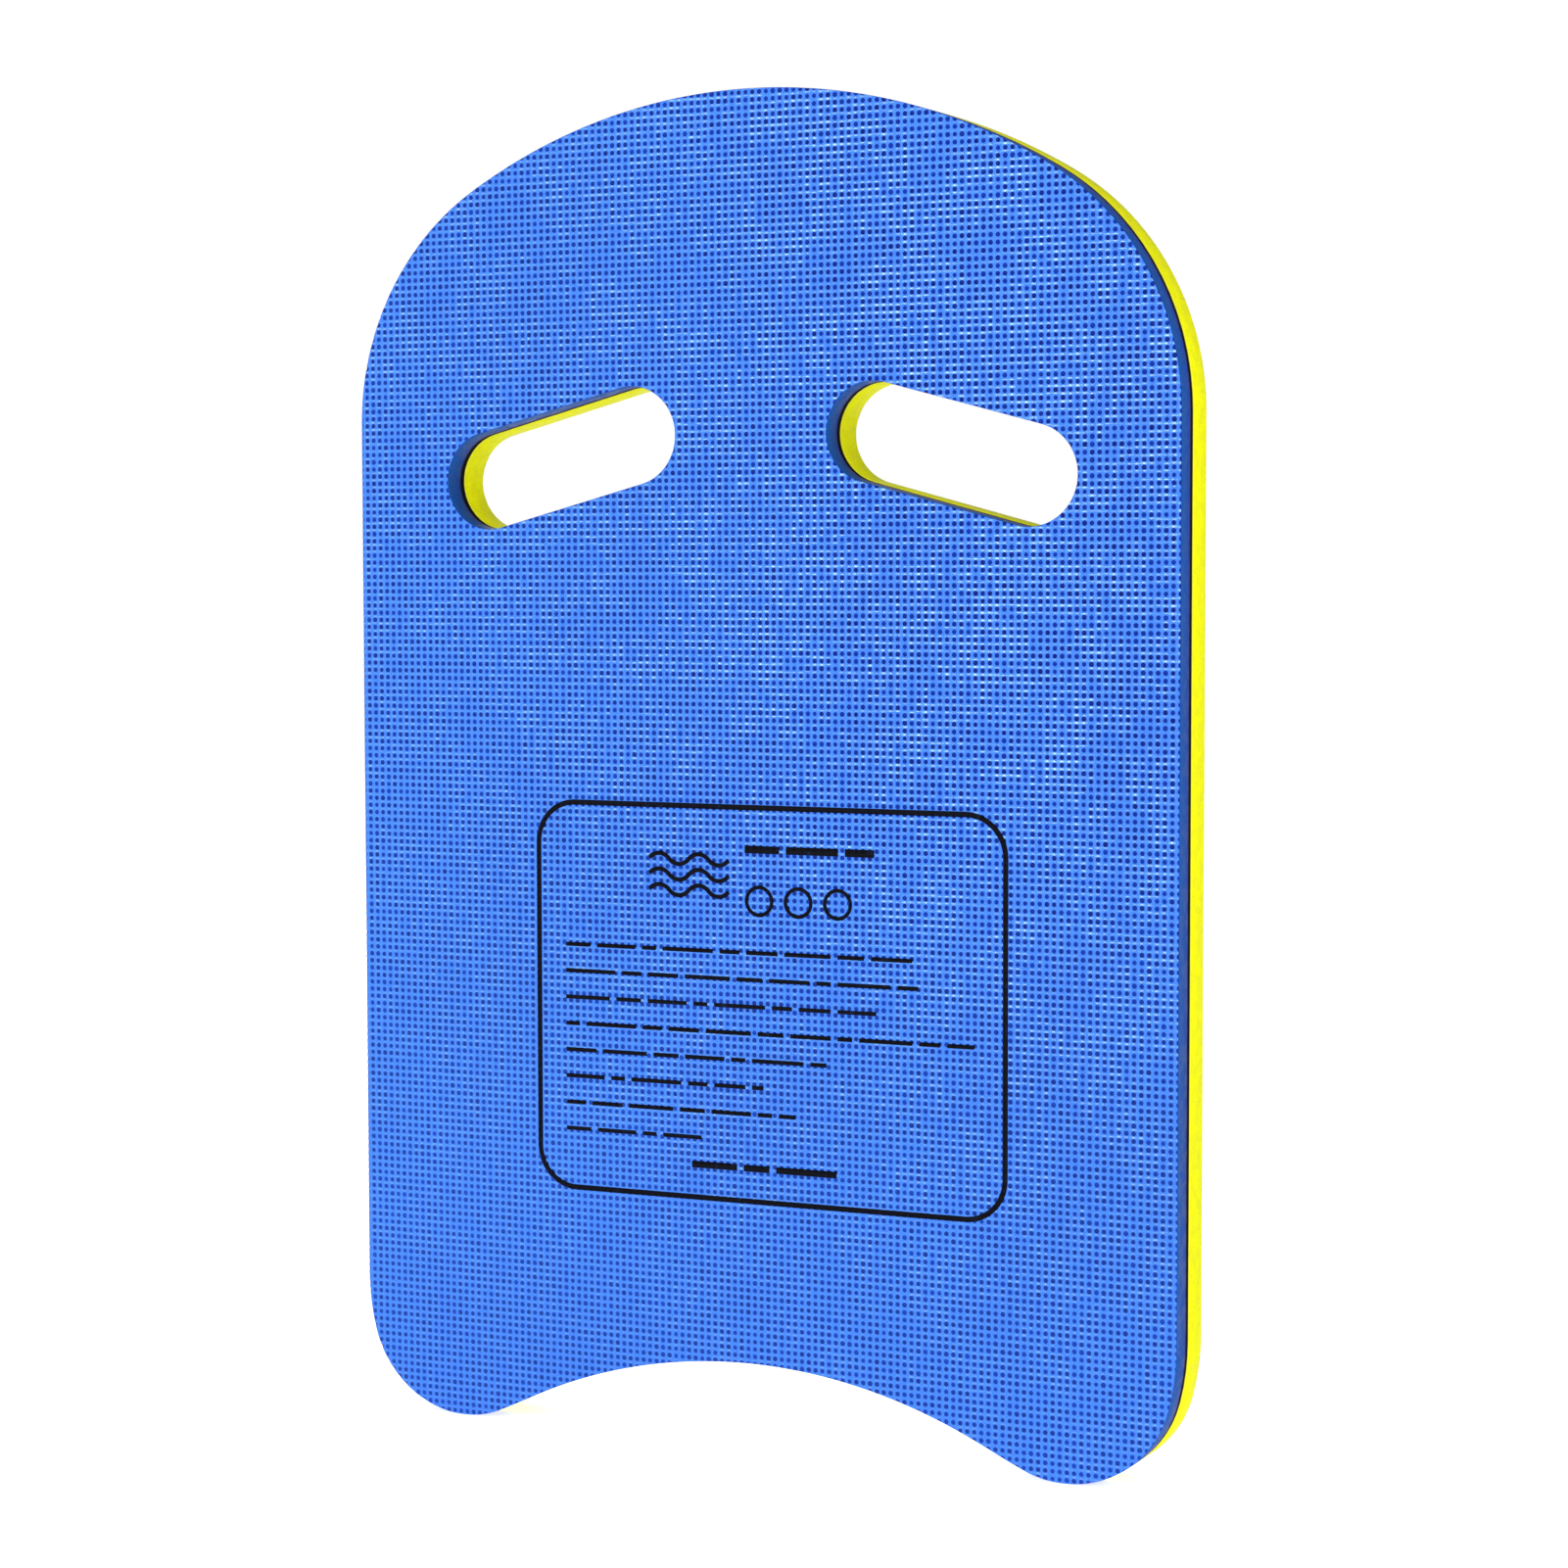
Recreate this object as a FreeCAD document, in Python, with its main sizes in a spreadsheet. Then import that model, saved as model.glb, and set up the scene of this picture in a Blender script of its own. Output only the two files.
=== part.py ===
"""Two-tone swimming kickboard of EVA foam with two hand slots and a printed panel.

Frame: millimetres, +Z from the tail to the nose, +X across the board, and the printed blue
face towards -Y. The origin is on the middle plane, half way through the board's thickness,
level with the lowest points of the two tail lobes.
"""
import FreeCAD, Part
import math
import os
import Sketcher

# Driving dimensions in millimetres and degrees: alias, value, meaning.
DIMENSIONS = [
    ("half_width", 142.5, "middle plane to a straight side"),
    ("board_height", 429, "lobe tips to the nose"),
    ("nose_radius", 195, "arc over the nose"),
    ("shoulder_radius", 87, "arc from the nose to a side"),
    ("side_bottom", 45.5, "height where a straight side ends"),
    ("lobe_radius", 78, "arc from a side into a lobe"),
    ("tip_radius", 35, "arc round the tip of a lobe"),
    ("arch_radius", 183, "hollow arc between the lobes"),
    ("arch_height", 27, "top of the hollow arc"),
    ("front_thickness", 8.4, "blue foam sheet"),
    ("film_thickness", 2.1, "dark glue layer between the sheets"),
    ("back_thickness", 12.5, "yellow foam sheet"),
    ("film_inset", 0.1, "glue layer held back from the cut edge"),
    ("no_inset", 0, "foam reaches the cut edge"),
    ("slot_length", 85, "hand slot, end to end"),
    ("slot_width", 31.4, "hand slot, side to side"),
    ("slot_offset", 68, "middle plane to the centre of a hand slot"),
    ("slot_height", 315, "centre of a hand slot above the lobe tips"),
    ("slot_tilt", 14.8, "fall of a hand slot towards the side, degrees"),
    ("ink_thickness", 0.12, "screen-printed ink"),
    ("frame_middle", 5.2, "printed frame's centre, across the board"),
    ("frame_height", 141.9, "printed frame's centre above the lobe tips"),
    ("frame_length", 164.8, "printed frame, across the board"),
    ("frame_rise", 127, "printed frame, up the board"),
    ("frame_radius", 14, "printed frame's outer corners"),
    ("frame_line", 1.7, "width of the printed line"),
    ("mark_left", -36, "left end of the wave mark"),
    ("mark_height", 182.5, "middle of the wave mark"),
    ("mark_pitch", 5, "one wave to the next"),
    ("mark_line", 1.4, "width of a wave's line"),
    ("hump_radius", 4.6, "middle line of one hump of a wave"),
    ("hump_sweep", 100, "arc of one hump, degrees"),
    ("ring_left", 3, "centre of the first ring mark"),
    ("ring_height", 175, "centres of the ring marks"),
    ("ring_pitch", 13.6, "one ring mark to the next"),
    ("ring_radius", 5, "outside of a ring mark"),
    ("ring_line", 1.2, "width of a ring mark's line"),
    ("title_left", -2, "left end of the title dashes"),
    ("title_height", 191.3, "middle of the title dashes"),
    ("title_rise", 2.4, "height of a title dash"),
    ("note_left", -66.6, "left end of the note lines"),
    ("note_height", 158.5, "middle of the first note line"),
    ("note_pitch", 8.57, "one note line to the next"),
    ("note_rise", 1.3, "height of a note dash"),
    ("footer_left", -21, "left end of the footer dashes"),
    ("footer_height", 89.8, "middle of the footer dashes"),
    ("footer_rise", 2.1, "height of a footer dash"),
    ("dash_gap", 2.4, "space between two dashes"),
]

WAVE_COUNT = 3
HUMPS_PER_WAVE = 4
RING_COUNT = 3
TITLE_DASHES = [12, 18, 10]
FOOTER_DASHES = [16, 9, 21]
NOTE_LINE_LENGTHS = [123, 126, 110, 143, 93, 71, 82, 49]
NOTE_DASHES = [9, 14, 5, 18, 7, 11, 16]
PATTERN_SHIFT = 3
SHORTEST_DASH = 3

# Smallest share of a solid that a cut has to take away.
LEAST_CUT = 0.001

EAST = FreeCAD.Vector(1, 0, 0)
SKETCH_NORMAL = FreeCAD.Vector(0, 0, 1)

# Sketcher's numbers for the points of a curve, and for a sketch's own origin and axes.
START, END, CENTRE = 1, 2, 3
ORIGIN = (-1, 1)
HORIZONTAL_AXIS, VERTICAL_AXIS = -1, -2

doc = FreeCAD.newDocument("kickboard_float")


# ---- the sheet of driving dimensions ----

def make_sheet():
    sheet = doc.addObject("Spreadsheet::Sheet", "dims")
    for row, (alias, value, meaning) in enumerate(DIMENSIONS, start=1):
        sheet.set(f"A{row}", meaning)
        sheet.set(f"B{row}", str(value))
        sheet.setAlias(f"B{row}", alias)
    doc.recompute()
    return sheet


dims = make_sheet()


def size(alias):
    """Value of one driving dimension."""
    return float(dims.get(alias))


# ---- shared steps ----

def origin_plane(body, role):
    return next(plane for plane in body.Origin.OriginFeatures if plane.Role == role)


def new_body(name):
    body = doc.addObject("PartDesign::Body", name)
    body.Label = name
    return body


def new_sketch(body, name):
    """A sketch on the body's XZ plane, whose normal is -Y."""
    sketch = body.newObject("Sketcher::SketchObject", name)
    sketch.AttachmentSupport = [(origin_plane(body, "XZ_Plane"), "")]
    sketch.MapMode = "FlatFace"
    return sketch


def shift_sketch(sketch, across, up, turn="0"):
    """Move a sketch within its plane to a centre, and turn it about its normal. All are formulas."""
    turning_axis = FreeCAD.Rotation(SKETCH_NORMAL, 1)
    sketch.AttachmentOffset = FreeCAD.Placement(FreeCAD.Vector(), turning_axis)
    sketch.setExpression("AttachmentOffset.Base.x", across)
    sketch.setExpression("AttachmentOffset.Base.y", up)
    sketch.setExpression("AttachmentOffset.Rotation.Angle", turn)


def bind(sketch, constraint, name, formula):
    """Add a dimension to a sketch and bind it to the sheet."""
    index = sketch.addConstraint(constraint)
    sketch.renameConstraint(index, name)
    sketch.setExpression("Constraints." + name, formula)


def arc(centre, radius, start, end):
    """Sketch arc that runs anticlockwise from the direction of start to that of end."""
    first = math.atan2(start.y - centre.y, start.x - centre.x)
    last = math.atan2(end.y - centre.y, end.x - centre.x)
    if last < first:
        last += 2 * math.pi
    return Part.ArcOfCircle(Part.Circle(centre, SKETCH_NORMAL, radius), first, last)


def pad(body, sketch, thickness):
    feature = body.newObject("PartDesign::Pad", sketch.Name + "_pad")
    feature.Profile = sketch
    feature.setExpression("Length", thickness)
    return feature


def cut_through(body, sketch):
    """Cut a sketch through a pad made on the same side of the same plane."""
    doc.recompute()
    solid_before = body.Shape.Volume
    feature = body.newObject("PartDesign::Pocket", sketch.Name + "_cut")
    feature.Profile = sketch
    feature.Type = "ThroughAll"
    feature.Reversed = True
    doc.recompute()
    if body.Shape.Volume > (1 - LEAST_CUT) * solid_before:
        raise RuntimeError(sketch.Name + " cut nothing")
    return feature


def mirror_across_middle(body, features):
    mirror = body.newObject("PartDesign::Mirrored", "mirror")
    mirror.Originals = features
    mirror.MirrorPlane = (origin_plane(body, "YZ_Plane"), [""])
    body.Tip = mirror


# ---- board outline ----

def board_joints(inset):
    """Arc centres and joints of the outline's right half, shrunk by inset."""
    nose = FreeCAD.Vector(0, size("board_height") - size("nose_radius"))
    shoulder_across = size("half_width") - size("shoulder_radius")
    shoulder_drop = size("nose_radius") - size("shoulder_radius")
    shoulder = FreeCAD.Vector(shoulder_across, nose.y + math.sqrt(shoulder_drop**2 - shoulder_across**2))
    lobe = FreeCAD.Vector(size("half_width") - size("lobe_radius"), size("side_bottom"))
    tip_gap = size("lobe_radius") - size("tip_radius")
    tip_drop = size("side_bottom") - size("tip_radius")
    tip = FreeCAD.Vector(lobe.x + math.sqrt(tip_gap**2 - tip_drop**2), size("tip_radius"))
    arch = FreeCAD.Vector(0, size("arch_height") - size("arch_radius"))

    # The flank between a lobe and the hollow arc is the inner tangent of their two circles.
    to_tip = tip - arch
    lean = math.acos((size("tip_radius") + size("arch_radius")) / to_tip.Length)
    flank_normal = FreeCAD.Rotation(SKETCH_NORMAL, math.degrees(lean)).multVec(to_tip.normalize())
    side = size("half_width") - inset
    return {
        "nose": nose, "shoulder": shoulder, "lobe": lobe, "tip": tip, "arch": arch,
        "nose_top": FreeCAD.Vector(0, size("board_height") - inset),
        "shoulder_start": nose + (shoulder - nose).normalize() * (size("nose_radius") - inset),
        "side_start": FreeCAD.Vector(side, shoulder.y),
        "side_end": FreeCAD.Vector(side, lobe.y),
        "tip_start": lobe + (tip - lobe).normalize() * (size("lobe_radius") - inset),
        "flank_start": tip - flank_normal * (size("tip_radius") - inset),
        "flank_end": arch + flank_normal * (size("arch_radius") + inset),
        "arch_top": FreeCAD.Vector(0, size("arch_height") + inset),
    }


def draw_half_board(sketch, inset):
    """Right half of the board's outline, closed along the middle line. inset is an alias."""
    at = board_joints(size(inset))
    nose, shoulder, side, lobe, tip, flank, arch, middle = range(8)
    radii = {
        "nose": size("nose_radius") - size(inset),
        "shoulder": size("shoulder_radius") - size(inset),
        "lobe": size("lobe_radius") - size(inset),
        "tip": size("tip_radius") - size(inset),
        "arch": size("arch_radius") + size(inset),
    }
    sketch.addGeometry([
        arc(at["nose"], radii["nose"], at["shoulder_start"], at["nose_top"]),
        arc(at["shoulder"], radii["shoulder"], at["side_start"], at["shoulder_start"]),
        Part.LineSegment(at["side_start"], at["side_end"]),
        arc(at["lobe"], radii["lobe"], at["tip_start"], at["side_end"]),
        arc(at["tip"], radii["tip"], at["flank_start"], at["tip_start"]),
        Part.LineSegment(at["flank_start"], at["flank_end"]),
        arc(at["arch"], radii["arch"], at["flank_end"], at["arch_top"]),
        Part.LineSegment(at["arch_top"], at["nose_top"]),
    ])
    sketch.addConstraint([
        Sketcher.Constraint("Tangent", nose, START, shoulder, END),
        Sketcher.Constraint("Tangent", shoulder, START, side, START),
        Sketcher.Constraint("Tangent", side, END, lobe, END),
        Sketcher.Constraint("Tangent", lobe, START, tip, END),
        Sketcher.Constraint("Tangent", tip, START, flank, START),
        Sketcher.Constraint("Tangent", flank, END, arch, START),
        Sketcher.Constraint("Coincident", arch, END, middle, START),
        Sketcher.Constraint("Coincident", middle, END, nose, END),
        Sketcher.Constraint("PointOnObject", middle, START, VERTICAL_AXIS),
        Sketcher.Constraint("PointOnObject", middle, END, VERTICAL_AXIS),
        Sketcher.Constraint("PointOnObject", nose, CENTRE, VERTICAL_AXIS),
        Sketcher.Constraint("PointOnObject", arch, CENTRE, VERTICAL_AXIS),
        Sketcher.Constraint("Vertical", side),
    ])
    convex = (("nose", nose), ("shoulder", shoulder), ("lobe", lobe), ("tip", tip))
    for name, curve in convex:
        bind(sketch, Sketcher.Constraint("Radius", curve, radii[name]), name + "_radius",
             f"dims.{name}_radius - dims.{inset}")
    bind(sketch, Sketcher.Constraint("Radius", arch, radii["arch"]), "arch_radius",
         f"dims.arch_radius + dims.{inset}")
    bind(sketch, Sketcher.Constraint("DistanceX", *ORIGIN, side, START, at["side_start"].x),
         "half_width", f"dims.half_width - dims.{inset}")
    bind(sketch, Sketcher.Constraint("DistanceY", *ORIGIN, nose, END, at["nose_top"].y),
         "board_height", f"dims.board_height - dims.{inset}")
    bind(sketch, Sketcher.Constraint("DistanceY", *ORIGIN, arch, END, at["arch_top"].y),
         "arch_height", f"dims.arch_height + dims.{inset}")
    bind(sketch, Sketcher.Constraint("DistanceY", *ORIGIN, side, END, at["side_end"].y),
         "side_bottom", "dims.side_bottom")
    bind(sketch, Sketcher.Constraint("DistanceY", *ORIGIN, tip, CENTRE, at["tip"].y),
         "tip_centre", "dims.tip_radius")


def draw_slot(sketch, inset):
    """Slot with round ends, centred on the sketch's origin and wider by inset all round."""
    radius = size("slot_width") / 2 + size(inset)
    reach = (size("slot_length") - size("slot_width")) / 2
    right, left, top, bottom = range(4)
    vector = FreeCAD.Vector
    sketch.addGeometry([
        arc(vector(reach, 0), radius, vector(reach, -radius), vector(reach, radius)),
        arc(vector(-reach, 0), radius, vector(-reach, radius), vector(-reach, -radius)),
        Part.LineSegment(vector(reach, radius), vector(-reach, radius)),
        Part.LineSegment(vector(-reach, -radius), vector(reach, -radius)),
    ])
    sketch.addConstraint([
        Sketcher.Constraint("Tangent", right, END, top, START),
        Sketcher.Constraint("Tangent", top, END, left, START),
        Sketcher.Constraint("Tangent", left, END, bottom, START),
        Sketcher.Constraint("Tangent", bottom, END, right, START),
        Sketcher.Constraint("PointOnObject", right, CENTRE, HORIZONTAL_AXIS),
        Sketcher.Constraint("Symmetric", right, CENTRE, left, CENTRE, *ORIGIN),
    ])
    bind(sketch, Sketcher.Constraint("Radius", right, radius), "end_radius",
         f"dims.slot_width / 2 + dims.{inset}")
    bind(sketch, Sketcher.Constraint("DistanceX", left, CENTRE, right, CENTRE, 2 * reach),
         "centre_distance", "dims.slot_length - dims.slot_width")


def make_foam_layer(name, thickness, place_y, inset="no_inset"):
    """One layer of the board, which reaches from place_y towards -Y by its thickness."""
    body = new_body(name)
    outline = new_sketch(body, name + "_outline")
    draw_half_board(outline, inset)
    slab = pad(body, outline, thickness)
    slot = new_sketch(body, name + "_hand_slot")
    shift_sketch(slot, "dims.slot_offset", "dims.slot_height", "-dims.slot_tilt")
    draw_slot(slot, inset)
    opening = cut_through(body, slot)
    mirror_across_middle(body, [slab, opening])
    body.setExpression("Placement.Base.y", place_y)
    return body


# ---- printed ink ----

HALF_THICKNESS = "(dims.front_thickness + dims.film_thickness + dims.back_thickness) / 2"
PRINTED_FACE = f"-{HALF_THICKNESS}"


def draw_frame_edge(sketch, inset):
    """The printed frame's rounded rectangle, centred on the sketch's origin and shrunk by inset."""
    radius = size("frame_radius") - size(inset)
    across = size("frame_length") / 2 - size("frame_radius")
    up = size("frame_rise") / 2 - size("frame_radius")
    vector = FreeCAD.Vector
    for index, (side, level) in enumerate(((1, 1), (-1, 1), (-1, -1), (1, -1))):
        middle = vector(side * across, level * up)
        quarter = math.radians(90)
        circle = Part.Circle(middle, SKETCH_NORMAL, radius)
        sketch.addGeometry(Part.ArcOfCircle(circle, index * quarter, (index + 1) * quarter))
    corners = [sketch.Geometry[index] for index in range(4)]
    for index in range(4):
        following = corners[(index + 1) % 4]
        sketch.addGeometry(Part.LineSegment(corners[index].EndPoint, following.StartPoint))
    for index in range(4):
        following = (index + 1) % 4
        sketch.addConstraint([
            Sketcher.Constraint("Tangent", index, END, 4 + index, START),
            Sketcher.Constraint("Tangent", 4 + index, END, following, START),
        ])
    for index in range(1, 4):
        sketch.addConstraint(Sketcher.Constraint("Equal", 0, index))
    sketch.addConstraint([
        Sketcher.Constraint("Horizontal", 4),
        Sketcher.Constraint("Symmetric", 0, CENTRE, 2, CENTRE, *ORIGIN),
    ])
    bind(sketch, Sketcher.Constraint("Radius", 0, radius), "corner_radius",
         f"dims.frame_radius - dims.{inset}")
    bind(sketch, Sketcher.Constraint("DistanceX", 2, CENTRE, 0, CENTRE, 2 * across),
         "length_between_centres", "dims.frame_length - 2 * dims.frame_radius")
    bind(sketch, Sketcher.Constraint("DistanceY", 2, CENTRE, 0, CENTRE, 2 * up),
         "rise_between_centres", "dims.frame_rise - 2 * dims.frame_radius")


def make_print_frame():
    body = new_body("print_frame")
    outside = new_sketch(body, "print_frame_outside")
    shift_sketch(outside, "dims.frame_middle", "dims.frame_height")
    draw_frame_edge(outside, "no_inset")
    pad(body, outside, "dims.ink_thickness")
    inside = new_sketch(body, "print_frame_inside")
    shift_sketch(inside, "dims.frame_middle", "dims.frame_height")
    draw_frame_edge(inside, "frame_line")
    cut_through(body, inside)
    body.setExpression("Placement.Base.y", PRINTED_FACE)
    return body


def ink_disc(name, radius, across, up, sweep="360", turn=0):
    """Cylinder of ink on the printed face, its axis along -Y, its sector turned by turn degrees."""
    disc = doc.addObject("Part::Cylinder", name)
    disc.setExpression("Radius", radius)
    disc.setExpression("Height", "dims.ink_thickness")
    disc.setExpression("Angle", sweep)
    upright = FreeCAD.Rotation(EAST, 90)
    disc.Placement = FreeCAD.Placement(FreeCAD.Vector(), upright * FreeCAD.Rotation(SKETCH_NORMAL, turn))
    disc.setExpression("Placement.Base.x", across)
    disc.setExpression("Placement.Base.y", PRINTED_FACE)
    disc.setExpression("Placement.Base.z", up)
    return disc


def ink_ring(name, middle_radius, line, across, up, sweep="360", turn=0):
    """Ring of ink, or a sector of one, with a line of constant width."""
    ring = doc.addObject("Part::Cut", name)
    ring.Base = ink_disc(name + "_outer", f"{middle_radius} + {line} / 2", across, up, sweep, turn)
    ring.Tool = ink_disc(name + "_inner", f"{middle_radius} - {line} / 2", across, up)
    return ring


def group(name, pieces):
    compound = doc.addObject("Part::Compound", name)
    compound.Links = pieces
    return compound


def make_wave_mark():
    """Stacked wave lines, each made of humps that bulge up and down by turns."""
    half_sweep = "dims.hump_sweep * 1 deg / 2"
    crest_turn = 90 - size("hump_sweep") / 2
    waves = []
    for row in range(WAVE_COUNT):
        level = f"dims.mark_height + {row - (WAVE_COUNT - 1) / 2} * dims.mark_pitch"
        humps = []
        for index in range(HUMPS_PER_WAVE):
            is_crest = index % 2 == 0
            across = f"dims.mark_left + {2 * index + 1} * dims.hump_radius * sin({half_sweep})"
            up = f"{level} {'-' if is_crest else '+'} dims.hump_radius * cos({half_sweep})"
            turn = crest_turn if is_crest else crest_turn + 180
            humps.append(ink_ring(f"wave_{row}_hump_{index}", "dims.hump_radius", "dims.mark_line",
                                  across, up, "dims.hump_sweep", turn))
        wave = doc.addObject("Part::MultiFuse", f"wave_{row}")
        wave.Shapes = humps
        waves.append(wave)
    return group("print_wave_mark", waves)


def make_ring_marks():
    rings = [ink_ring(f"ring_{index}", "dims.ring_radius - dims.ring_line / 2", "dims.ring_line",
                      f"dims.ring_left + {index} * dims.ring_pitch", "dims.ring_height")
             for index in range(RING_COUNT)]
    return group("print_ring_marks", rings)


def ink_dashes(name, lengths, left, middle, rise):
    """Row of rectangular dashes with equal gaps, their left end and middle height as formulas."""
    dashes = []
    start = 0
    for index, length in enumerate(lengths):
        dash = doc.addObject("Part::Box", f"{name}_{index}")
        dash.Length = length
        dash.setExpression("Width", "dims.ink_thickness")
        dash.setExpression("Height", rise)
        dash.setExpression("Placement.Base.x", f"{left} + {start} + {index} * dims.dash_gap")
        dash.setExpression("Placement.Base.y", f"{PRINTED_FACE} - dims.ink_thickness")
        dash.setExpression("Placement.Base.z", f"{middle} - {rise} / 2")
        dashes.append(dash)
        start += length
    return dashes


def note_line_dashes(line, total):
    """Dash lengths that fill a line of the given length. Each line begins elsewhere in the pattern."""
    lengths = []
    room = total
    position = PATTERN_SHIFT * line
    while room >= SHORTEST_DASH:
        length = min(NOTE_DASHES[position % len(NOTE_DASHES)], room)
        lengths.append(length)
        room -= length + size("dash_gap")
        position += 1
    return lengths


def make_title_dashes():
    dashes = ink_dashes("title_dash", TITLE_DASHES, "dims.title_left", "dims.title_height",
                        "dims.title_rise")
    return group("print_title_dashes", dashes)


def make_note_lines():
    dashes = []
    for line, total in enumerate(NOTE_LINE_LENGTHS):
        middle = f"dims.note_height - {line} * dims.note_pitch"
        dashes += ink_dashes(f"note_{line}_dash", note_line_dashes(line, total), "dims.note_left",
                             middle, "dims.note_rise")
    return group("print_note_lines", dashes)


def make_footer_dashes():
    dashes = ink_dashes("footer_dash", FOOTER_DASHES, "dims.footer_left", "dims.footer_height",
                        "dims.footer_rise")
    return group("print_footer_dashes", dashes)


# ---- assembly ----

SUB_PARTS = [
    make_foam_layer("front_foam_sheet", "dims.front_thickness",
                    f"{PRINTED_FACE} + dims.front_thickness"),
    make_foam_layer("bond_film", "dims.film_thickness", f"{HALF_THICKNESS} - dims.back_thickness",
                    "film_inset"),
    make_foam_layer("back_foam_sheet", "dims.back_thickness", HALF_THICKNESS),
    make_print_frame(),
    make_wave_mark(),
    make_title_dashes(),
    make_ring_marks(),
    make_note_lines(),
    make_footer_dashes(),
]
doc.recompute()

for item in doc.Objects:
    if "Invalid" in item.State or "Error" in item.State:
        raise RuntimeError(f"{item.Name} failed to build")
for item in SUB_PARTS:
    if item.Shape.isNull() or not item.Shape.isValid():
        raise RuntimeError(f"{item.Label} has no valid shape")

os.makedirs("parts", exist_ok=True)
for item in SUB_PARTS:
    item.Shape.exportStep(f"parts/{item.Label}.step")
    box = item.Shape.BoundBox
    print(f"{item.Label}: {len(item.Shape.Solids)} solids, {item.Shape.Volume:.1f} mm3, "
          f"x {box.XMin:.2f} to {box.XMax:.2f}, y {box.YMin:.2f} to {box.YMax:.2f}, "
          f"z {box.ZMin:.2f} to {box.ZMax:.2f}")
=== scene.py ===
"""Blender scene of the two-tone kickboard: embossed foam sheets, dark glue layer and print.

Lengths are in metres, in the CAD frame: the printed blue face looks towards -Y, +X runs across
the board and +Z runs from the tail to the nose.
"""
import math
from itertools import pairwise

import bmesh
import bpy
import numpy as np
from mathutils import Matrix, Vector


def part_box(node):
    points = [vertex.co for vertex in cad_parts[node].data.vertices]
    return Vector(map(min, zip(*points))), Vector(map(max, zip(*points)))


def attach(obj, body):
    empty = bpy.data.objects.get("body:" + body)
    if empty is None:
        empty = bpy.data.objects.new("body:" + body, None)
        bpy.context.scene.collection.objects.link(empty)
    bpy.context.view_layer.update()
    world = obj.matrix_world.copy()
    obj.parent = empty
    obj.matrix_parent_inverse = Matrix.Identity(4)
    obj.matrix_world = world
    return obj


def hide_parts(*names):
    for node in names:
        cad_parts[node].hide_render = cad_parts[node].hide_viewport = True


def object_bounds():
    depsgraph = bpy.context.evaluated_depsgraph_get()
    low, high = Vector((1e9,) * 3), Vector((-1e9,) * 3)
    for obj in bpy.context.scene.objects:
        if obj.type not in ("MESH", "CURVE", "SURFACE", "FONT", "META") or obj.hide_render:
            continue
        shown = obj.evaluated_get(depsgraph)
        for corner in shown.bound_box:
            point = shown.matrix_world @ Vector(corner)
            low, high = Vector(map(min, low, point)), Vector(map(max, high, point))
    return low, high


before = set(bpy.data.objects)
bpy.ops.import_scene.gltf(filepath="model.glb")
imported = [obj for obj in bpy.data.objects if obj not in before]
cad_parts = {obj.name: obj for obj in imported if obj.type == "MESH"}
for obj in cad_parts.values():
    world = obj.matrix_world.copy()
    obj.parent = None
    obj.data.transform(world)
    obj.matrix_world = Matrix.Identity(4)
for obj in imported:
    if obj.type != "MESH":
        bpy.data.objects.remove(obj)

CAD_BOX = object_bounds()

# The Y of each sheet's embossed face, and of the side that it is glued on.
FRONT_FACE, FRONT_SEAM = (corner.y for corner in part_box("front_foam_sheet"))
BACK_SEAM, BACK_FACE = (corner.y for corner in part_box("back_foam_sheet"))

# The embossed grid: round pits in rows and columns.
PIT_PITCH = 0.002357
PIT_RADIUS = 0.00082
FLOOR_RADIUS = 0.00058
PIT_DEPTH = 0.00042
RIM_DROP = 0.00003
PIT_SIDES = 8

# Each pit's size against the average pit: spread, limits and random seed.
SIZE_SPREAD = 0.05
SIZE_LIMITS = (0.9, 1.1)
SIZE_SEED = 5

# Outline: longer edges are straight sides, and shorter ones are arcs with points this far apart.
LONG_STRAIGHT = 0.02
OUTLINE_STEP = 0.0012
SAME_POINT = 1e-6

# Sheet edges: a pressed round at the face, with one step on its way, and a small one at the seam.
EDGE_ROUND = 0.00030
MIDDLE_STEP = 0.3 * EDGE_ROUND
EDGE_CLEARANCE = 3 * EDGE_ROUND
SEAM_ROUND = 0.00012
SHARP_ANGLE = math.radians(62)

# A surface is a cut side if the Y of its normal is under this. The walls of the pits lean more.
CUT_FACING = 0.35

# Ink stands this far proud, and its solid ends out of sight inside the foam.
INK_LIFT = 0.00010
INK_ROOT = 1.5 * PIT_DEPTH
COAT_BACK = 2 * PIT_DEPTH

# How far the band of another colour reaches from the seam on each sheet's cut side.
SEAM_BAND_WIDTH = 0.0010

# Noise scales, in features to the metre.
CLOUD_SCALE = 14.0
PATCH_SCALE = 60.0
SHEEN_SCALE = 700.0
RAGGED_SCALE = 1100.0
SKIN_SCALE = 1300.0
SKIN_BUMP_SCALE = 3200.0
MOTTLE_SCALE = 240.0
FOAM_CELL_SCALE = 2600.0
SMEAR_SCALE = 320.0
INK_WEAR_SCALE = 420.0
INK_GRAIN_SCALE = 2400.0
PAPER_SCALE = 3.0

# Camera: focal length and sensor in millimetres, place in metres, turns in degrees.
CAMERA_LENS = 83.07
CAMERA_SENSOR = 36
CAMERA_SHIFT = (-0.0094, 0.0015)
CAMERA_PLACE = (0.5004, -1.0330, 0.2845)
CAMERA_YAW = 25.33
CAMERA_PITCH = -3.685
CAMERA_ROLL = 0.087

# Studio: the floor's side and glow, the strength of the world's light on the board, and the side,
# names, places and watts of the square lights.
FLOOR_SIZE = 6
FLOOR_GLOW = 0.7
WORLD_LIGHT = 0.40
LIGHT_SIZE = 0.8
LIGHTS = [
    ("front_light", (-0.50, -1.75, 0.75), 12),
    ("side_light", (1.7, -0.55, 0.9), 11),
    ("back_light", (-1.1, 1.7, 0.9), 9),
]


# ---- Embossed surface -------------------------------------------------------

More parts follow.
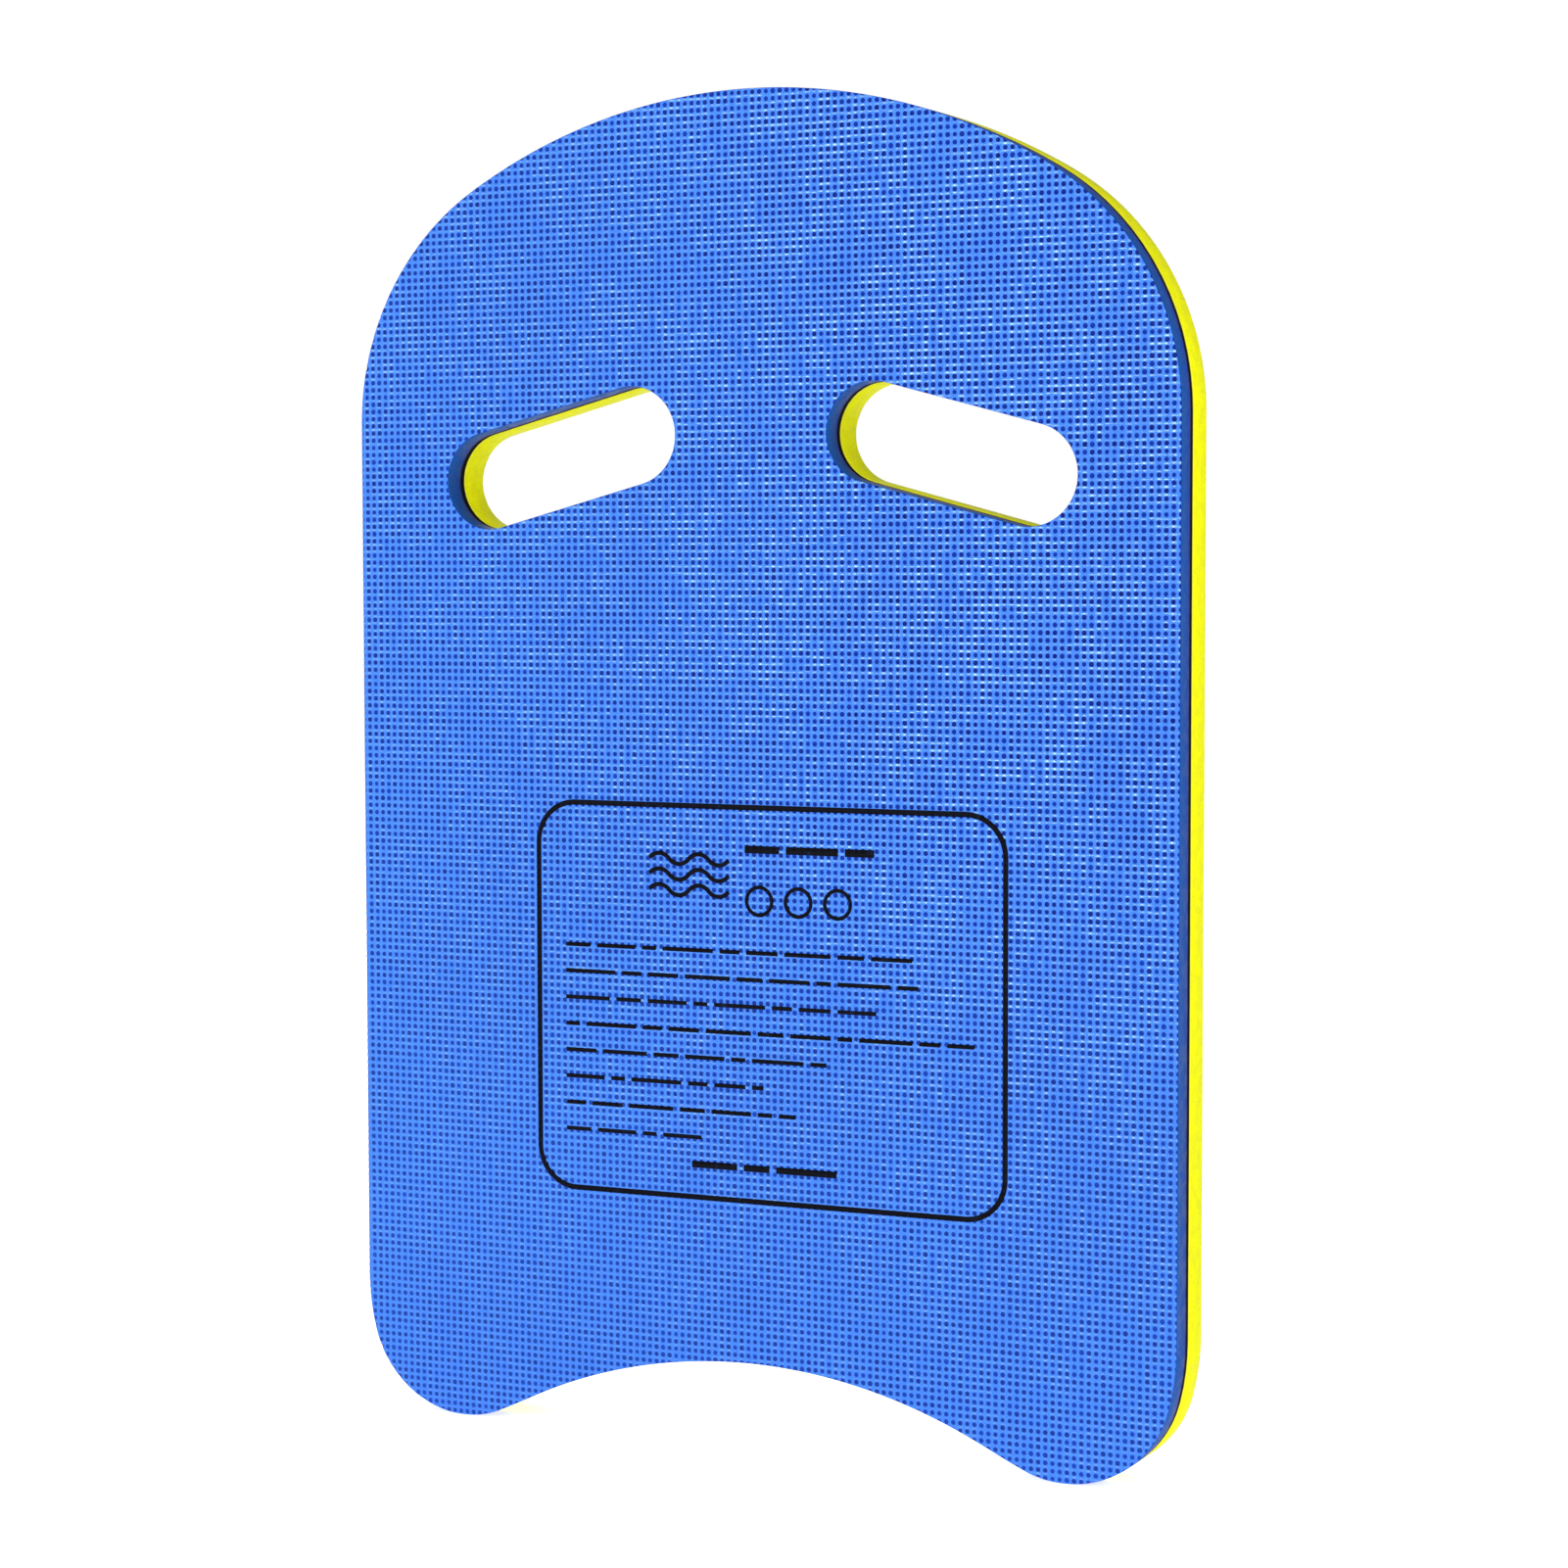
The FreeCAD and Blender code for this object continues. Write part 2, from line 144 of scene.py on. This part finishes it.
def pit_grid():
    """Lower left corner of the grid, and each pit's size against the average pit."""
    low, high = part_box("front_foam_sheet")
    columns = 2 * math.ceil(high.x / PIT_PITCH + 1)
    rows = math.ceil(high.z / PIT_PITCH) + 2
    corner = np.array([-columns / 2 * PIT_PITCH, low.z - PIT_PITCH])
    rng = np.random.default_rng(SIZE_SEED)
    sizes = rng.normal(1, SIZE_SPREAD, (rows, columns)).clip(*SIZE_LIMITS)
    return corner, sizes


def pit_vertices(centres, sizes):
    """The points round the rim and the floor of each pit."""
    turn = (np.arange(PIT_SIDES) + 0.5) * 2 * math.pi / PIT_SIDES
    circle = np.stack([np.cos(turn), np.zeros(PIT_SIDES), np.sin(turn)], -1)
    rims = centres + circle * PIT_RADIUS * sizes + [0, RIM_DROP, 0]
    floors = centres + circle * FLOOR_RADIUS * sizes + [0, PIT_DEPTH, 0] * sizes
    return rims.reshape(-1, 3), floors.reshape(-1, 3)


def pit_faces(rows, columns, corner_count):
    """Faces of every cell: eight pieces that slope gently to the rim, eight walls and a floor."""
    row, column = np.divmod(np.arange(rows * columns), columns)
    lower_left = row * (columns + 1) + column
    square = np.stack([lower_left + 1, lower_left + columns + 2, lower_left + columns + 1, lower_left])
    rim = corner_count + np.arange(rows * columns) * PIT_SIDES
    floor = rim + rows * columns * PIT_SIDES
    faces = []
    for quarter in range(4):
        this, following = square[quarter], square[(quarter + 1) % 4]
        side = 2 * quarter
        before = rim + (side - 1) % PIT_SIDES
        faces += np.stack([this, following, rim + side, before], -1).tolist()
        faces += np.stack([following, rim + side + 1, rim + side], -1).tolist()
    for side in range(PIT_SIDES):
        after = (side + 1) % PIT_SIDES
        faces += np.stack([rim + side, rim + after, floor + after, floor + side], -1).tolist()
    faces += (floor[:, None] + np.arange(PIT_SIDES)).tolist()
    return faces


def slab_sides(rows, columns, first_end):
    """The slab's four sides and its back. Its four back corners start at vertex first_end."""
    bottom = list(range(columns + 1))
    right = [i * (columns + 1) + columns for i in range(rows + 1)]
    top = [rows * (columns + 1) + i for i in reversed(range(columns + 1))]
    left = [i * (columns + 1) for i in reversed(range(rows + 1))]
    end = list(range(first_end, first_end + 4))
    faces = []
    for i, edge in enumerate((bottom, right, top, left)):
        faces.append(edge[::-1] + [end[i], end[(i + 1) % 4]])
    faces.append(end[::-1])
    return faces


def embossed_slab(name, face, back, low, high):
    """Closed slab, from face to back along Y, over the cells between two (x, z) corners."""
    corner, sizes = pit_grid()
    first_column, first_row = np.floor((np.array(low) - corner) / PIT_PITCH).astype(int).clip(0)
    last_column, last_row = np.ceil((np.array(high) - corner) / PIT_PITCH).astype(int)
    sizes = sizes[first_row:last_row, first_column:last_column]
    rows, columns = sizes.shape
    start = corner + np.array([first_column, first_row]) * PIT_PITCH

    z, x = np.mgrid[0:rows + 1, 0:columns + 1] * PIT_PITCH
    grid = np.stack([x + start[0], np.full_like(x, face), z + start[1]], -1)
    centres = grid[:-1, :-1] + [PIT_PITCH / 2, 0, PIT_PITCH / 2]
    corners = grid.reshape(-1, 3)
    rims, floors = pit_vertices(centres.reshape(-1, 1, 3), sizes.reshape(-1, 1, 1))
    ends = [(corners[i][0], back, corners[i][2])
            for i in (0, columns, (rows + 1) * (columns + 1) - 1, rows * (columns + 1))]
    vertices = np.concatenate([corners, rims, floors, ends])
    faces = pit_faces(rows, columns, len(corners))
    faces += slab_sides(rows, columns, len(vertices) - len(ends))

    mesh = bpy.data.meshes.new(name)
    mesh.from_pydata(vertices.tolist(), [], faces)
    return mesh


# ---- Outline ----------------------------------------------------------------

def outline_loops(node):
    """The node's outline and openings as closed (x, z) loops, with the foam on their left."""
    bm = bmesh.new()
    bm.from_mesh(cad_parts[node].data)
    bmesh.ops.remove_doubles(bm, verts=bm.verts, dist=SAME_POINT)
    following = {}
    for face in bm.faces:
        if face.normal.y < -0.5:
            for corner in face.loops:
                if corner.link_loop_radial_next.face.normal.y > -0.5:
                    following[corner.vert] = corner.link_loop_next.vert
    loops = []
    while following:
        start, vert = following.popitem()
        loop = [start]
        while vert != start:
            loop.append(vert)
            vert = following.pop(vert)
        loops.append(np.array([(v.co.x, v.co.z) for v in loop]))
    bm.free()
    return loops


def smooth_loop(points):
    """The loop and its outward normals, bent between its points close to the arcs they lie on."""
    chords = np.roll(points, -1, axis=0) - points
    lengths = np.linalg.norm(chords, axis=1)
    headings = chords / lengths[:, None]
    tangents = []
    for i in range(len(points)):
        if lengths[i - 1] > LONG_STRAIGHT:
            tangent = headings[i - 1]
        elif lengths[i] > LONG_STRAIGHT:
            tangent = headings[i]
        else:
            tangent = headings[i - 1] * lengths[i] + headings[i] * lengths[i - 1]
        tangents.append(tangent / np.linalg.norm(tangent))
    dense, directions = [], []
    for i, length in enumerate(lengths):
        after = (i + 1) % len(points)
        pieces = 1 if length > LONG_STRAIGHT else math.ceil(length / OUTLINE_STEP)
        for t in np.arange(pieces) / pieces:
            start_bend = t * (1 - t) ** 2 * length * tangents[i]
            end_bend = t ** 2 * (1 - t) * length * tangents[after]
            ease = t * t * (3 - 2 * t)
            dense.append(points[i] + ease * chords[i] + start_bend - end_bend)
            directions.append(tangents[i] * (1 - t) + tangents[after] * t)
    normals = np.array([(heading[1], -heading[0]) for heading in directions])
    return np.array(dense), normals / np.linalg.norm(normals, axis=1)[:, None]


def prism(name, loops, steps):
    """Closed solid of the outline. steps are the (inset, y) of its edge, from face to seam."""
    bm = bmesh.new()
    end_edges = ([], [])
    for points, normals in loops:
        rings = [[bm.verts.new((x, y, z)) for x, z in points - inset * normals] for inset, y in steps]
        for upper, lower in pairwise(rings):
            for i, j in zip(range(-1, len(upper) - 1), range(len(upper))):
                bm.faces.new((upper[i], lower[i], lower[j], upper[j]))
        for edges, ring in zip(end_edges, (rings[0], rings[-1])):
            edges += [bm.edges.get((ring[i - 1], ring[i])) for i in range(len(ring))]
    for edges in end_edges:
        bmesh.ops.triangle_fill(bm, edges=edges)
    bmesh.ops.recalc_face_normals(bm, faces=bm.faces)
    mesh = bpy.data.meshes.new(name)
    bm.to_mesh(mesh)
    bm.free()
    return mesh


def show(name, mesh):
    piece = bpy.data.objects.new(name, mesh)
    bpy.context.scene.collection.objects.link(piece)
    return piece


def intersection(name, first, second):
    """The mesh that two closed meshes share. Both are removed, with the objects that show them."""
    piece, cutter = show(name, first), show(name + "_cutter", second)
    modifier = piece.modifiers.new("shared", "BOOLEAN")
    modifier.operation = "INTERSECT"
    modifier.solver = "MANIFOLD"
    modifier.object = cutter
    depsgraph = bpy.context.evaluated_depsgraph_get()
    mesh = bpy.data.meshes.new_from_object(piece.evaluated_get(depsgraph))
    for used in (first, second):
        bpy.data.meshes.remove(used)
    return mesh


# ---- Material helpers -------------------------------------------------------

def add_node(tree, kind, inputs, **settings):
    """A new node. An input given as another node's output is linked, and a value is set."""
    node = tree.nodes.new(kind)
    for name, value in settings.items():
        setattr(node, name, value)
    for name, value in inputs.items():
        if isinstance(value, bpy.types.NodeSocket):
            tree.links.new(value, node.inputs[name])
        else:
            node.inputs[name].default_value = value
    return node


def new_material(name):
    """A new material with its node tree, shader, and place on the board in metres."""
    material = bpy.data.materials.new(name)
    material.use_nodes = True
    tree = material.node_tree
    place = add_node(tree, "ShaderNodeTexCoord", {}).outputs["Object"]
    return material, tree, tree.nodes["Principled BSDF"], place


def noise(tree, place, scale, detail=3.0):
    inputs = {"Vector": place, "Scale": scale, "Detail": detail}
    return add_node(tree, "ShaderNodeTexNoise", inputs).outputs["Fac"]


def fade(tree, value, start, end, low=0.0, high=1.0):
    """low before start and high after end, with a smooth step between."""
    inputs = {"Value": value, "From Min": start, "From Max": end, "To Min": low, "To Max": high}
    return add_node(tree, "ShaderNodeMapRange", inputs, interpolation_type="SMOOTHSTEP").outputs[0]


def blend(tree, factor, first, second, blend_type="MIX"):
    inputs = {"Fac": factor, "Color1": first, "Color2": second}
    return add_node(tree, "ShaderNodeMixRGB", inputs, blend_type=blend_type).outputs["Color"]


def along(tree, place, axis):
    return add_node(tree, "ShaderNodeSeparateXYZ", {"Vector": place}).outputs[axis]


def multiply(tree, first, second):
    return add_node(tree, "ShaderNodeMath", {0: first, 1: second}, operation="MULTIPLY").outputs["Value"]


def vector_math(tree, operation, *inputs):
    node = add_node(tree, "ShaderNodeVectorMath", dict(enumerate(inputs)), operation=operation)
    return node.outputs["Vector"]


def finish_material(tree, shader, colour, roughness, height, distance):
    """Links a material's colour, roughness and bump."""
    bump = add_node(tree, "ShaderNodeBump", {"Height": height, "Distance": distance, "Strength": 1.0})
    tree.links.new(colour, shader.inputs["Base Color"])
    tree.links.new(roughness, shader.inputs["Roughness"])
    tree.links.new(bump.outputs["Normal"], shader.inputs["Normal"])


# ---- Materials --------------------------------------------------------------

def grid_place(tree, place):
    """A random number for a point's cell, and how far across and up it is from the cell's middle."""
    cells = vector_math(tree, "DIVIDE", place, (PIT_PITCH, 1.0, PIT_PITCH))
    number = vector_math(tree, "FLOOR", cells)
    inside = vector_math(tree, "FRACTION", cells)
    offset = vector_math(tree, "SUBTRACT", inside, (0.5, 0.5, 0.5))
    offset = vector_math(tree, "ABSOLUTE", offset)
    chance = add_node(tree, "ShaderNodeTexWhiteNoise", {"Vector": number}).outputs["Value"]
    return chance, along(tree, offset, "X"), along(tree, offset, "Z")


def painted_glint_mask(tree, place, chance, across, up):
    """Ragged patches of the thin ridge between a pit and the one above it, to be made pale.

    They stand in for glints of light, as base colour, so they don't move with the lights or view.
    """
    on_saddle = multiply(tree, fade(tree, up, 0.30, 0.48), fade(tree, across, 0.05, 0.30, 1.0, 0.35))
    patches = fade(tree, noise(tree, place, PATCH_SCALE), 0.34, 0.60, 0.25, 1.0)
    ragged = fade(tree, noise(tree, place, RAGGED_SCALE), 0.32, 0.54)
    picked = multiply(tree, fade(tree, chance, 0.10, 0.70), multiply(tree, patches, ragged))
    return multiply(tree, on_saddle, picked)


def embossed_foam(name, face, inward, ridge, glint, pit, deep_pit):
    """Heat-pressed foam skin: satin ridges, and shade painted in the pits, darker in some pits than in
    others.

    The painted highlights on the ridges and the painted shade in the pits are strongest towards the nose
    and the +X side.
    """
    material, tree, shader, place = new_material(name)
    depth = along(tree, place, "Y")
    # The mask below marks the pits, where shade is painted as a darker base colour.
    pit_shade_mask = fade(tree, depth, face + inward * 0.08 * PIT_DEPTH, face + inward * 0.42 * PIT_DEPTH)
    chance, across, up = grid_place(tree, place)
    # to_nose and to_side grow towards the nose and the +X side, where the painted highlights and the
    # painted shade in the pits are strongest.
    to_nose = fade(tree, along(tree, place, "Z"), 0.0, 0.29, 0.25, 1.0)
    to_side = fade(tree, along(tree, place, "X"), -0.14, 0.10, 0.45, 1.0)
    # Painted highlights: pale glints on the ridges, mixed into the base colour.
    painted_glints = multiply(tree, painted_glint_mask(tree, place, chance, across, up), multiply(tree, to_nose, to_side))
    # pressed is the strength of the painted shade in the pits, weaker away from the nose and the +X side.
    pit_shade_to_nose = fade(tree, to_nose, 0.25, 1.0, 0.84, 1.0)
    pit_shade_to_side = fade(tree, to_side, 0.45, 1.0, 0.90, 1.0)
    pressed = multiply(tree, pit_shade_to_nose, pit_shade_to_side)
    clouds = fade(tree, noise(tree, place, CLOUD_SCALE), 0.3, 0.7, 0.96, 1.04)
    skin = fade(tree, noise(tree, place, SKIN_SCALE), 0.3, 0.7, 0.90, 1.08)
    ridge_colour = blend(tree, 1.0, blend(tree, painted_glints, ridge, glint), skin, "MULTIPLY")
    # The painted shade in each pit: a random mix of the pit and deep_pit colours.
    pit_shade_colour = blend(tree, chance, pit, deep_pit)
    colour = blend(tree, multiply(tree, pit_shade_mask, pressed), ridge_colour, pit_shade_colour)
    colour = blend(tree, 1.0, colour, clouds, "MULTIPLY")
    roughness = fade(tree, noise(tree, place, SHEEN_SCALE), 0.3, 0.7, 0.36, 0.50)
    finish_material(tree, shader, colour, roughness, noise(tree, place, SKIN_BUMP_SCALE), 0.00004)
    shader.inputs["Specular IOR Level"].default_value = 0.14
    return material


def blue_face():
    # glint is a painted highlight; pit and deep_pit are painted shade in the pits.
    return embossed_foam("blue_face", FRONT_FACE, 1,
                         ridge=(0.056, 0.225, 0.88, 1), glint=(0.60, 1.0, 1.0, 1),
                         pit=(0.001, 0.040, 0.40, 1), deep_pit=(0.0003, 0.010, 0.20, 1))


def yellow_face():
    # glint is a painted highlight; pit and deep_pit are painted shade in the pits.
    return embossed_foam("yellow_face", BACK_FACE, -1,
                         ridge=(0.92, 0.84, 0.01, 1), glint=(1.0, 1.0, 0.5, 1),
                         pit=(0.72, 0.60, 0.004, 1), deep_pit=(0.60, 0.47, 0.003, 1))


def cut_foam(name, seam_side, face_side, at_seam, at_face, seam_band):
    """Die-cut side of a foam sheet: fine closed cells, and a band of another colour along the seam."""
    material, tree, shader, place = new_material(name)
    voronoi = add_node(tree, "ShaderNodeTexVoronoi", {"Vector": place, "Scale": FOAM_CELL_SCALE})
    cells = voronoi.outputs["Distance"]
    mottle = fade(tree, noise(tree, place, MOTTLE_SCALE, 5.0), 0.32, 0.68)
    depth = fade(tree, along(tree, place, "Y"), face_side, seam_side)
    side = blend(tree, depth, at_face, at_seam)
    # A band along the seam takes another colour: near-black on the blue sheet, and pale on the yellow
    # sheet, where it is a painted highlight.
    seam_band_reach = math.copysign(SEAM_BAND_WIDTH, face_side - seam_side)
    in_seam_band = fade(tree, along(tree, place, "Y"), seam_side + seam_band_reach, seam_side + 0.3 * seam_band_reach)
    side = blend(tree, in_seam_band, side, seam_band)
    speckle = fade(tree, cells, 0.1, 0.7, 0.88, 1.05)
    colour = blend(tree, 1.0, side, speckle, "MULTIPLY")
    cloudy = blend(tree, mottle, (0.94, 0.92, 0.91, 1), (1.02, 1.02, 1.02, 1))
    colour = blend(tree, 1.0, colour, cloudy, "MULTIPLY")
    roughness = fade(tree, mottle, 0.0, 1.0, 0.5, 0.68)
    finish_material(tree, shader, colour, roughness, cells, 0.00008)
    shader.inputs["Specular IOR Level"].default_value = 0.08
    return material


def blue_cut():
    # On the blue side the band along the seam is near-black.
    return cut_foam("blue_cut", FRONT_SEAM, FRONT_FACE,
                    at_seam=(0.005, 0.054, 0.36, 1), at_face=(0.004, 0.088, 0.38, 1),
                    seam_band=(0.001, 0.002, 0.02, 1))


def yellow_cut():
    # On the yellow side the band along the seam is pale: a painted highlight.
    return cut_foam("yellow_cut", BACK_SEAM, BACK_FACE,
                    at_seam=(0.92, 0.94, 0.0, 1), at_face=(0.82, 0.84, 0.0, 1),
                    seam_band=(0.95, 0.97, 0.10, 1))


def glue_layer():
    """Dark dull contact glue in the seam, smeared a little."""
    material, tree, shader, place = new_material("glue_layer")
    smear = noise(tree, place, SMEAR_SCALE, 4.0)
    dark, less_dark = (0.0008, 0.0010, 0.003, 1), (0.004, 0.005, 0.012, 1)
    colour = blend(tree, fade(tree, smear, 0.35, 0.65), dark, less_dark)
    roughness = fade(tree, smear, 0.3, 0.7, 0.7, 0.9)
    finish_material(tree, shader, colour, roughness, smear, 0.0002)
    shader.inputs["Specular IOR Level"].default_value = 0.04
    return material


def screen_ink():
    """Near-black screen ink, thinner in places, with the grain of the mesh it went through."""
    material, tree, shader, place = new_material("screen_ink")
    grain = noise(tree, place, INK_GRAIN_SCALE, 2.0)
    wear = fade(tree, noise(tree, place, INK_WEAR_SCALE, 4.0), 0.58, 0.78)
    colour = blend(tree, wear, (0.004, 0.004, 0.008, 1), (0.012, 0.02, 0.06, 1))
    roughness = fade(tree, grain, 0.3, 0.7, 0.42, 0.6)
    finish_material(tree, shader, colour, roughness, grain, 0.00003)
    shader.inputs["Specular IOR Level"].default_value = 0.05
    return material


def studio_floor():
    """Pale paper, lit so evenly that it all but swallows shadows."""
    material, tree, shader, place = new_material("studio_floor")
    shade = noise(tree, place, PAPER_SCALE)
    colour = blend(tree, fade(tree, shade, 0.3, 0.7), (0.90, 0.90, 0.90, 1), (0.93, 0.93, 0.93, 1))
    roughness = fade(tree, shade, 0.3, 0.7, 0.8, 0.9)
    finish_material(tree, shader, colour, roughness, shade, 0.0002)
    shader.inputs["Emission Color"].default_value = (1, 1, 1, 1)
    shader.inputs["Emission Strength"].default_value = FLOOR_GLOW
    return material


# ---- Pieces -----------------------------------------------------------------

def edge_steps(face, seam, inward):
    """(inset, y) steps of a sheet's edge. The first stands clear of the slab that it is cut from."""
    return [
        (EDGE_CLEARANCE, face - inward * EDGE_ROUND),
        (EDGE_ROUND, face),
        (MIDDLE_STEP, face + inward * MIDDLE_STEP),
        (0.0, face + inward * EDGE_ROUND),
        (0.0, seam - inward * SEAM_ROUND),
        (SEAM_ROUND, seam),
    ]


def make_sheet(node, face, seam, inward, materials):
    """One foam sheet, with pits that its outline and hand slots cut through."""
    loops = [smooth_loop(points) for points in outline_loops(node)]
    outline = prism(node + "_outline", loops, edge_steps(face, seam, inward))
    low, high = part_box(node)
    slab = embossed_slab(node + "_slab", -abs(face), abs(face), (low.x, low.z), (high.x, high.z))
    if inward < 0:
        # The back sheet's pits look towards +Y.
        slab.transform(Matrix.Rotation(math.pi, 4, "Z"))
    mesh = intersection(node + "_work", slab, outline)
    mesh.materials.clear()
    for material in materials:
        mesh.materials.append(material)
    mesh.shade_smooth()
    mesh.set_sharp_from_angle(angle=SHARP_ANGLE)
    for polygon in mesh.polygons:
        polygon.material_index = int(abs(polygon.normal.y) < CUT_FACING)
    sheet = show(node.replace("foam_sheet", "embossed_sheet"), mesh)
    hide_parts(node)
    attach(sheet, "root")
    return sheet


def make_ink(node, material):
    """One printed mark, as ink that follows the ridges and pits under it."""
    low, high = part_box(node)
    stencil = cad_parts[node].data.copy()
    middle = (low.y + high.y) / 2
    for vertex in stencil.vertices:
        vertex.co.y = low.y - PIT_DEPTH if vertex.co.y < middle else high.y + INK_ROOT
    bm = bmesh.new()
    bm.from_mesh(stencil)
    bmesh.ops.remove_doubles(bm, verts=bm.verts, dist=SAME_POINT)
    bm.to_mesh(stencil)
    bm.free()
    coat = embossed_slab(node + "_coat", FRONT_FACE - INK_LIFT, FRONT_FACE + COAT_BACK,
                         (low.x, low.z), (high.x, high.z))
    mesh = intersection(node + "_work", coat, stencil)
    mesh.materials.clear()
    mesh.materials.append(material)
    mesh.shade_smooth()
    mesh.set_sharp_from_angle(angle=SHARP_ANGLE)
    ink = show(node.replace("print", "ink"), mesh)
    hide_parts(node)
    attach(ink, "root")


# ---- Studio -----------------------------------------------------------------

def make_camera():
    data = bpy.data.cameras.new("camera")
    data.lens = CAMERA_LENS
    data.sensor_width = CAMERA_SENSOR
    data.shift_x, data.shift_y = CAMERA_SHIFT
    camera = bpy.data.objects.new("camera", data)
    bpy.context.scene.collection.objects.link(camera)
    yaw = Matrix.Rotation(math.radians(CAMERA_YAW), 4, "Z")
    pitch = Matrix.Rotation(math.radians(CAMERA_PITCH), 4, "X")
    roll = Matrix.Rotation(math.radians(CAMERA_ROLL), 4, "Y")
    upright = Matrix.Rotation(math.pi / 2, 4, "X")
    camera.matrix_world = Matrix.Translation(CAMERA_PLACE) @ yaw @ pitch @ roll @ upright
    bpy.context.scene.camera = camera


def make_light(name, place, power):
    """A square soft light that faces the middle of the board."""
    data = bpy.data.lights.new(name, "AREA")
    data.size = LIGHT_SIZE
    data.energy = power
    light = bpy.data.objects.new(name, data)
    bpy.context.scene.collection.objects.link(light)
    low, high = CAD_BOX
    target = (low + high) / 2
    light.location = place
    light.rotation_euler = (target - light.location).to_track_quat("-Z", "Y").to_euler()


def make_world():
    """White all round as seen directly, and a dimmer white as it lights the board."""
    world = bpy.data.worlds.new("studio")
    world.use_nodes = True
    tree = world.node_tree
    seen = add_node(tree, "ShaderNodeLightPath", {}).outputs["Is Camera Ray"]
    strength = fade(tree, seen, 0.0, 1.0, WORLD_LIGHT, 1.0)
    tree.links.new(strength, tree.nodes["Background"].inputs["Strength"])
    tree.nodes["Background"].inputs["Color"].default_value = (1, 1, 1, 1)
    bpy.context.scene.world = world


def make_studio():
    bpy.context.scene.view_settings.view_transform = "Standard"
    make_world()
    bpy.ops.mesh.primitive_plane_add(size=FLOOR_SIZE, location=(0, 0, CAD_BOX[0].z))
    floor = bpy.context.object
    floor.name = "floor"
    floor.data.materials.append(studio_floor())
    for name, place, power in LIGHTS:
        make_light(name, place, power)


def main():
    front = make_sheet("front_foam_sheet", FRONT_FACE, FRONT_SEAM, 1, (blue_face(), blue_cut()))
    back = make_sheet("back_foam_sheet", BACK_FACE, BACK_SEAM, -1, (yellow_face(), yellow_cut()))
    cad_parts["bond_film"].data.materials[0] = glue_layer()
    ink = screen_ink()
    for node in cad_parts:
        if node.startswith("print"):
            make_ink(node, ink)
    make_camera()
    make_studio()


main()
